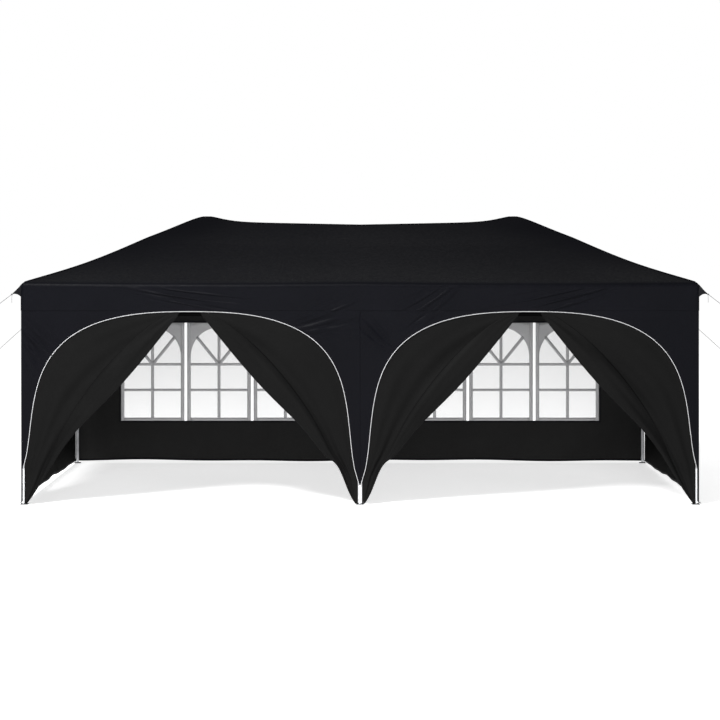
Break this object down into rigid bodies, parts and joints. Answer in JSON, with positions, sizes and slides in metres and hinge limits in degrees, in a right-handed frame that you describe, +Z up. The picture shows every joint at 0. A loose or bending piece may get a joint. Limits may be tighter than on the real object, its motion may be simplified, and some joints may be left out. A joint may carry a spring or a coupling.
{
  "type": "pop up gazebo",
  "caption": "Black pop up gazebo with two roof peaks, a folding scissor frame, telescopic legs, zipped doorways in front, windowed back wall and guy ropes.",
  "frame": {"origin": "on the ground at the middle of the floor plan", "axes": "+X along the long side, +Y from the doors to the back wall, +Z up"},
  "size_m": [7.8128, 3.6029, 2.531],
  "materials": {
    "silver_frame": "satin silver powder coat",
    "grey_fittings": "moulded nylon",
    "canopy_fabric": "coated woven polyester",
    "wall_fabric": "woven polyester",
    "window_film": "clear PVC film",
    "window_print": "printed film",
    "zip_tape": "white zip",
    "rope_cord": "braided cord"
  },
  "bodies": {
    "front_centre_leg": {"outer_leg_front_centre": "silver_frame", "canopy": "canopy_fabric", "front_wall_left": "wall_fabric", "front_wall_right": "wall_fabric"},
    "bar_front_right_centre_top": {"bar_front_right_centre_top": "silver_frame"},
    "bar_front_right_centre_low": {"bar_front_right_centre_low": "silver_frame"},
    "bar_front_right_corner_top": {"bar_front_right_corner_top": "silver_frame"},
    "bar_front_right_corner_low": {"bar_front_right_corner_low": "silver_frame"},
    "slider_front_centre": {"slider_front_centre": "grey_fittings"},
    "front_right_leg": {"outer_leg_front_right": "silver_frame", "end_wall_right": "wall_fabric", "guy_rope_front_right": "rope_cord"},
    "slider_front_right": {"slider_front_right": "grey_fittings"},
    "bar_front_left_centre_top": {"bar_front_left_centre_top": "silver_frame"},
    "bar_front_left_centre_low": {"bar_front_left_centre_low": "silver_frame"},
    "bar_front_left_corner_top": {"bar_front_left_corner_top": "silver_frame"},
    "bar_front_left_corner_low": {"bar_front_left_corner_low": "silver_frame"},
    "front_left_leg": {"outer_leg_front_left": "silver_frame", "end_wall_left": "wall_fabric", "guy_rope_front_left": "rope_cord"},
    "slider_front_left": {"slider_front_left": "grey_fittings"},
    "bar_right_end_front_top": {"bar_right_end_front_top": "silver_frame"},
    "bar_right_end_front_low": {"bar_right_end_front_low": "silver_frame"},
    "bar_right_end_back_top": {"bar_right_end_back_top": "silver_frame"},
    "bar_right_end_back_low": {"bar_right_end_back_low": "silver_frame"},
    "back_right_leg": {"outer_leg_back_right": "silver_frame", "guy_rope_back_right": "rope_cord"},
    "slider_back_right": {"slider_back_right": "grey_fittings"},
    "bar_left_end_front_top": {"bar_left_end_front_top": "silver_frame"},
    "bar_left_end_front_low": {"bar_left_end_front_low": "silver_frame"},
    "bar_left_end_back_top": {"bar_left_end_back_top": "silver_frame"},
    "bar_left_end_back_low": {"bar_left_end_back_low": "silver_frame"},
    "back_left_leg": {"outer_leg_back_left": "silver_frame", "guy_rope_back_left": "rope_cord"},
    "slider_back_left": {"slider_back_left": "grey_fittings"},
    "bar_back_right_corner_top": {"bar_back_right_corner_top": "silver_frame"},
    "bar_back_right_corner_low": {"bar_back_right_corner_low": "silver_frame"},
    "bar_back_right_centre_top": {"bar_back_right_centre_top": "silver_frame"},
    "bar_back_right_centre_low": {"bar_back_right_centre_low": "silver_frame"},
    "back_centre_leg": {"outer_leg_back_centre": "silver_frame", "back_wall": "wall_fabric"},
    "slider_back_centre": {"slider_back_centre": "grey_fittings"},
    "bar_back_left_corner_top": {"bar_back_left_corner_top": "silver_frame"},
    "bar_back_left_corner_low": {"bar_back_left_corner_low": "silver_frame"},
    "bar_back_left_centre_top": {"bar_back_left_centre_top": "silver_frame"},
    "bar_back_left_centre_low": {"bar_back_left_centre_low": "silver_frame"},
    "peak_joint_left": {"peak_joint_left": "grey_fittings"},
    "peak_bar_left_front": {"peak_bar_left_front": "silver_frame"},
    "peak_bar_left_back": {"peak_bar_left_back": "silver_frame"},
    "peak_pole_left": {"peak_pole_left": "silver_frame"},
    "peak_joint_right": {"peak_joint_right": "grey_fittings"},
    "peak_bar_right_front": {"peak_bar_right_front": "silver_frame"},
    "peak_bar_right_back": {"peak_bar_right_back": "silver_frame"},
    "peak_pole_right": {"peak_pole_right": "silver_frame"},
    "inner_leg_front_left": {"inner_leg_front_left": "silver_frame"},
    "inner_leg_front_centre": {"inner_leg_front_centre": "silver_frame"},
    "inner_leg_front_right": {"inner_leg_front_right": "silver_frame"},
    "inner_leg_back_left": {"inner_leg_back_left": "silver_frame"},
    "inner_leg_back_centre": {"inner_leg_back_centre": "silver_frame"},
    "inner_leg_back_right": {"inner_leg_back_right": "silver_frame"}
  },
  "joints": [
    {"name": "frame_fold", "type": "hinge", "parent": "front_centre_leg", "child": "bar_front_right_centre_top", "pos_m": [0.04702, -1.46, 1.885], "axis": [0, 1, 0], "range_deg": [0, 77.15], "deforming": ["canopy", "front_wall_left", "front_wall_right", "back_wall", "end_wall_left", "end_wall_right"]},
    {"name": "front_right_centre_crossing", "type": "hinge", "parent": "bar_front_right_centre_top", "child": "bar_front_right_centre_low", "pos_m": [0.75351, -1.46, 1.775], "axis": [0, 1, 0], "range_deg": [-154.3, 0]},
    {"name": "front_right_mid_low_pivot", "type": "hinge", "parent": "bar_front_right_centre_top", "child": "bar_front_right_corner_top", "pos_m": [1.46, -1.46, 1.665], "axis": [0, 1, 0], "range_deg": [-154.3, 0]},
    {"name": "front_right_mid_top_pivot", "type": "hinge", "parent": "bar_front_right_centre_low", "child": "bar_front_right_corner_low", "pos_m": [1.46, -1.46, 1.885], "axis": [0, 1, 0], "range_deg": [0, 154.3]},
    {"name": "slider_front_centre_pivot", "type": "hinge", "parent": "bar_front_right_centre_low", "child": "slider_front_centre", "pos_m": [0.04702, -1.46, 1.665], "axis": [0, 1, 0], "range_deg": [0, 77.15]},
    {"name": "front_right_leg_pivot", "type": "hinge", "parent": "bar_front_right_corner_top", "child": "front_right_leg", "pos_m": [2.87298, -1.46, 1.885], "axis": [0, 1, 0], "range_deg": [0, 77.15]},
    {"name": "slider_front_right_pivot", "type": "hinge", "parent": "bar_front_right_corner_low", "child": "slider_front_right", "pos_m": [2.87298, -1.46, 1.665], "axis": [0, 1, 0], "range_deg": [-77.15, 0]},
    {"name": "front_left_centre_top_pivot", "type": "hinge", "parent": "front_centre_leg", "child": "bar_front_left_centre_top", "pos_m": [-0.04702, -1.46, 1.885], "axis": [0, -1, 0], "range_deg": [0, 77.15]},
    {"name": "front_left_centre_crossing", "type": "hinge", "parent": "bar_front_left_centre_top", "child": "bar_front_left_centre_low", "pos_m": [-0.75351, -1.46, 1.775], "axis": [0, -1, 0], "range_deg": [-154.3, 0]},
    {"name": "front_left_mid_low_pivot", "type": "hinge", "parent": "bar_front_left_centre_top", "child": "bar_front_left_corner_top", "pos_m": [-1.46, -1.46, 1.665], "axis": [0, -1, 0], "range_deg": [-154.3, 0]},
    {"name": "front_left_mid_top_pivot", "type": "hinge", "parent": "bar_front_left_centre_low", "child": "bar_front_left_corner_low", "pos_m": [-1.46, -1.46, 1.885], "axis": [0, -1, 0], "range_deg": [0, 154.3]},
    {"name": "front_left_leg_pivot", "type": "hinge", "parent": "bar_front_left_corner_top", "child": "front_left_leg", "pos_m": [-2.87298, -1.46, 1.885], "axis": [0, -1, 0], "range_deg": [0, 77.15]},
    {"name": "slider_front_left_pivot", "type": "hinge", "parent": "bar_front_left_corner_low", "child": "slider_front_left", "pos_m": [-2.87298, -1.46, 1.665], "axis": [0, -1, 0], "range_deg": [-77.15, 0]},
    {"name": "right_end_front_top_pivot", "type": "hinge", "parent": "front_right_leg", "child": "bar_right_end_front_top", "pos_m": [2.92, -1.41298, 1.885], "axis": [-1, 0, 0], "range_deg": [0, 77.15]},
    {"name": "right_end_front_crossing", "type": "hinge", "parent": "bar_right_end_front_top", "child": "bar_right_end_front_low", "pos_m": [2.92, -0.70649, 1.775], "axis": [-1, 0, 0], "range_deg": [-154.3, 0]},
    {"name": "right_end_mid_low_pivot", "type": "hinge", "parent": "bar_right_end_front_top", "child": "bar_right_end_back_top", "pos_m": [2.92, 0, 1.665], "axis": [-1, 0, 0], "range_deg": [-154.3, 0]},
    {"name": "right_end_mid_top_pivot", "type": "hinge", "parent": "bar_right_end_front_low", "child": "bar_right_end_back_low", "pos_m": [2.92, 0, 1.885], "axis": [-1, 0, 0], "range_deg": [0, 154.3]},
    {"name": "back_right_leg_pivot", "type": "hinge", "parent": "bar_right_end_back_top", "child": "back_right_leg", "pos_m": [2.92, 1.41298, 1.885], "axis": [-1, 0, 0], "range_deg": [0, 77.15]},
    {"name": "slider_back_right_pivot", "type": "hinge", "parent": "bar_right_end_back_low", "child": "slider_back_right", "pos_m": [2.92, 1.41298, 1.665], "axis": [-1, 0, 0], "range_deg": [-77.15, 0]},
    {"name": "left_end_front_top_pivot", "type": "hinge", "parent": "front_left_leg", "child": "bar_left_end_front_top", "pos_m": [-2.92, -1.41298, 1.885], "axis": [-1, 0, 0], "range_deg": [0, 77.15]},
    {"name": "left_end_front_crossing", "type": "hinge", "parent": "bar_left_end_front_top", "child": "bar_left_end_front_low", "pos_m": [-2.92, -0.70649, 1.775], "axis": [-1, 0, 0], "range_deg": [-154.3, 0]},
    {"name": "left_end_mid_low_pivot", "type": "hinge", "parent": "bar_left_end_front_top", "child": "bar_left_end_back_top", "pos_m": [-2.92, 0, 1.665], "axis": [-1, 0, 0], "range_deg": [-154.3, 0]},
    {"name": "left_end_mid_top_pivot", "type": "hinge", "parent": "bar_left_end_front_low", "child": "bar_left_end_back_low", "pos_m": [-2.92, 0, 1.885], "axis": [-1, 0, 0], "range_deg": [0, 154.3]},
    {"name": "back_left_leg_pivot", "type": "hinge", "parent": "bar_left_end_back_top", "child": "back_left_leg", "pos_m": [-2.92, 1.41298, 1.885], "axis": [-1, 0, 0], "range_deg": [0, 77.15]},
    {"name": "slider_back_left_pivot", "type": "hinge", "parent": "bar_left_end_back_low", "child": "slider_back_left", "pos_m": [-2.92, 1.41298, 1.665], "axis": [-1, 0, 0], "range_deg": [-77.15, 0]},
    {"name": "back_right_corner_top_pivot", "type": "hinge", "parent": "back_right_leg", "child": "bar_back_right_corner_top", "pos_m": [2.87298, 1.46, 1.885], "axis": [0, -1, 0], "range_deg": [0, 77.15]},
    {"name": "back_right_corner_crossing", "type": "hinge", "parent": "bar_back_right_corner_top", "child": "bar_back_right_corner_low", "pos_m": [2.16649, 1.46, 1.775], "axis": [0, -1, 0], "range_deg": [-154.3, 0]},
    {"name": "back_right_mid_low_pivot", "type": "hinge", "parent": "bar_back_right_corner_top", "child": "bar_back_right_centre_top", "pos_m": [1.46, 1.46, 1.665], "axis": [0, -1, 0], "range_deg": [-154.3, 0]},
    {"name": "back_right_mid_top_pivot", "type": "hinge", "parent": "bar_back_right_corner_low", "child": "bar_back_right_centre_low", "pos_m": [1.46, 1.46, 1.885], "axis": [0, -1, 0], "range_deg": [0, 154.3]},
    {"name": "back_centre_leg_pivot", "type": "hinge", "parent": "bar_back_right_centre_top", "child": "back_centre_leg", "pos_m": [0.04702, 1.46, 1.885], "axis": [0, -1, 0], "range_deg": [0, 77.15]},
    {"name": "slider_back_centre_pivot", "type": "hinge", "parent": "bar_back_right_centre_low", "child": "slider_back_centre", "pos_m": [0.04702, 1.46, 1.665], "axis": [0, -1, 0], "range_deg": [-77.15, 0]},
    {"name": "back_left_corner_top_pivot", "type": "hinge", "parent": "back_left_leg", "child": "bar_back_left_corner_top", "pos_m": [-2.87298, 1.46, 1.885], "axis": [0, 1, 0], "range_deg": [0, 77.15]},
    {"name": "back_left_corner_crossing", "type": "hinge", "parent": "bar_back_left_corner_top", "child": "bar_back_left_corner_low", "pos_m": [-2.16649, 1.46, 1.775], "axis": [0, 1, 0], "range_deg": [-154.3, 0]},
    {"name": "back_left_mid_low_pivot", "type": "hinge", "parent": "bar_back_left_corner_top", "child": "bar_back_left_centre_top", "pos_m": [-1.46, 1.46, 1.665], "axis": [0, 1, 0], "range_deg": [-154.3, 0]},
    {"name": "back_left_mid_top_pivot", "type": "hinge", "parent": "bar_back_left_corner_low", "child": "bar_back_left_centre_low", "pos_m": [-1.46, 1.46, 1.885], "axis": [0, 1, 0], "range_deg": [0, 154.3]},
    {"name": "peak_joint_left_pivot", "type": "hinge", "parent": "bar_front_left_centre_low", "child": "peak_joint_left", "pos_m": [-1.46, -1.46, 1.885], "axis": [0, -1, 0], "range_deg": [0, 77.15]},
    {"name": "peak_bar_left_front_pivot", "type": "hinge", "parent": "peak_joint_left", "child": "peak_bar_left_front", "pos_m": [-1.46, -1.41298, 1.885], "axis": [-1, 0, 0], "range_deg": [0, 77.15]},
    {"name": "peak_pole_left_pivot", "type": "hinge", "parent": "peak_bar_left_front", "child": "peak_pole_left", "pos_m": [-1.46, 0, 1.665], "axis": [-1, 0, 0], "range_deg": [-77.15, 0]},
    {"name": "peak_bar_left_back_pivot", "type": "hinge", "parent": "peak_pole_left", "child": "peak_bar_left_back", "pos_m": [-1.46, 0, 1.665], "axis": [1, 0, 0], "range_deg": [0, 77.15]},
    {"name": "peak_joint_right_pivot", "type": "hinge", "parent": "bar_front_right_centre_low", "child": "peak_joint_right", "pos_m": [1.46, -1.46, 1.885], "axis": [0, 1, 0], "range_deg": [0, 77.15]},
    {"name": "peak_bar_right_front_pivot", "type": "hinge", "parent": "peak_joint_right", "child": "peak_bar_right_front", "pos_m": [1.46, -1.41298, 1.885], "axis": [-1, 0, 0], "range_deg": [0, 77.15]},
    {"name": "peak_pole_right_pivot", "type": "hinge", "parent": "peak_bar_right_front", "child": "peak_pole_right", "pos_m": [1.46, 0, 1.665], "axis": [-1, 0, 0], "range_deg": [-77.15, 0]},
    {"name": "peak_bar_right_back_pivot", "type": "hinge", "parent": "peak_pole_right", "child": "peak_bar_right_back", "pos_m": [1.46, 0, 1.665], "axis": [1, 0, 0], "range_deg": [0, 77.15]},
    {"name": "front_left_leg_height", "type": "slide", "parent": "front_left_leg", "child": "inner_leg_front_left", "axis": [0, 0, 1], "range_m": [0, 0.4]},
    {"name": "front_centre_leg_height", "type": "slide", "parent": "front_centre_leg", "child": "inner_leg_front_centre", "axis": [0, 0, 1], "range_m": [0, 0.4]},
    {"name": "front_right_leg_height", "type": "slide", "parent": "front_right_leg", "child": "inner_leg_front_right", "axis": [0, 0, 1], "range_m": [0, 0.4]},
    {"name": "back_left_leg_height", "type": "slide", "parent": "back_left_leg", "child": "inner_leg_back_left", "axis": [0, 0, 1], "range_m": [0, 0.4]},
    {"name": "back_centre_leg_height", "type": "slide", "parent": "back_centre_leg", "child": "inner_leg_back_centre", "axis": [0, 0, 1], "range_m": [0, 0.4]},
    {"name": "back_right_leg_height", "type": "slide", "parent": "back_right_leg", "child": "inner_leg_back_right", "axis": [0, 0, 1], "range_m": [0, 0.4]}
  ],
  "couplings": [
    {"joint": "front_right_centre_crossing", "follows": "frame_fold", "ratio": -2},
    {"joint": "front_right_mid_low_pivot", "follows": "frame_fold", "ratio": -2},
    {"joint": "front_right_mid_top_pivot", "follows": "frame_fold", "ratio": 2},
    {"joint": "slider_front_centre_pivot", "follows": "frame_fold", "ratio": 1},
    {"joint": "front_right_leg_pivot", "follows": "frame_fold", "ratio": 1},
    {"joint": "slider_front_right_pivot", "follows": "frame_fold", "ratio": -1},
    {"joint": "front_left_centre_top_pivot", "follows": "frame_fold", "ratio": 1},
    {"joint": "front_left_centre_crossing", "follows": "frame_fold", "ratio": -2},
    {"joint": "front_left_mid_low_pivot", "follows": "frame_fold", "ratio": -2},
    {"joint": "front_left_mid_top_pivot", "follows": "frame_fold", "ratio": 2},
    {"joint": "front_left_leg_pivot", "follows": "frame_fold", "ratio": 1},
    {"joint": "slider_front_left_pivot", "follows": "frame_fold", "ratio": -1},
    {"joint": "right_end_front_top_pivot", "follows": "frame_fold", "ratio": 1},
    {"joint": "right_end_front_crossing", "follows": "frame_fold", "ratio": -2},
    {"joint": "right_end_mid_low_pivot", "follows": "frame_fold", "ratio": -2},
    {"joint": "right_end_mid_top_pivot", "follows": "frame_fold", "ratio": 2},
    {"joint": "back_right_leg_pivot", "follows": "frame_fold", "ratio": 1},
    {"joint": "slider_back_right_pivot", "follows": "frame_fold", "ratio": -1},
    {"joint": "left_end_front_top_pivot", "follows": "frame_fold", "ratio": 1},
    {"joint": "left_end_front_crossing", "follows": "frame_fold", "ratio": -2},
    {"joint": "left_end_mid_low_pivot", "follows": "frame_fold", "ratio": -2},
    {"joint": "left_end_mid_top_pivot", "follows": "frame_fold", "ratio": 2},
    {"joint": "back_left_leg_pivot", "follows": "frame_fold", "ratio": 1},
    {"joint": "slider_back_left_pivot", "follows": "frame_fold", "ratio": -1},
    {"joint": "back_right_corner_top_pivot", "follows": "frame_fold", "ratio": 1},
    {"joint": "back_right_corner_crossing", "follows": "frame_fold", "ratio": -2},
    {"joint": "back_right_mid_low_pivot", "follows": "frame_fold", "ratio": -2},
    {"joint": "back_right_mid_top_pivot", "follows": "frame_fold", "ratio": 2},
    {"joint": "back_centre_leg_pivot", "follows": "frame_fold", "ratio": 1},
    {"joint": "slider_back_centre_pivot", "follows": "frame_fold", "ratio": -1},
    {"joint": "back_left_corner_top_pivot", "follows": "frame_fold", "ratio": 1},
    {"joint": "back_left_corner_crossing", "follows": "frame_fold", "ratio": -2},
    {"joint": "back_left_mid_low_pivot", "follows": "frame_fold", "ratio": -2},
    {"joint": "back_left_mid_top_pivot", "follows": "frame_fold", "ratio": 2},
    {"joint": "peak_joint_left_pivot", "follows": "frame_fold", "ratio": 1},
    {"joint": "peak_bar_left_front_pivot", "follows": "frame_fold", "ratio": 1},
    {"joint": "peak_pole_left_pivot", "follows": "frame_fold", "ratio": -1},
    {"joint": "peak_bar_left_back_pivot", "follows": "frame_fold", "ratio": 1},
    {"joint": "peak_joint_right_pivot", "follows": "frame_fold", "ratio": 1},
    {"joint": "peak_bar_right_front_pivot", "follows": "frame_fold", "ratio": 1},
    {"joint": "peak_pole_right_pivot", "follows": "frame_fold", "ratio": -1},
    {"joint": "peak_bar_right_back_pivot", "follows": "frame_fold", "ratio": 1}
  ]
}
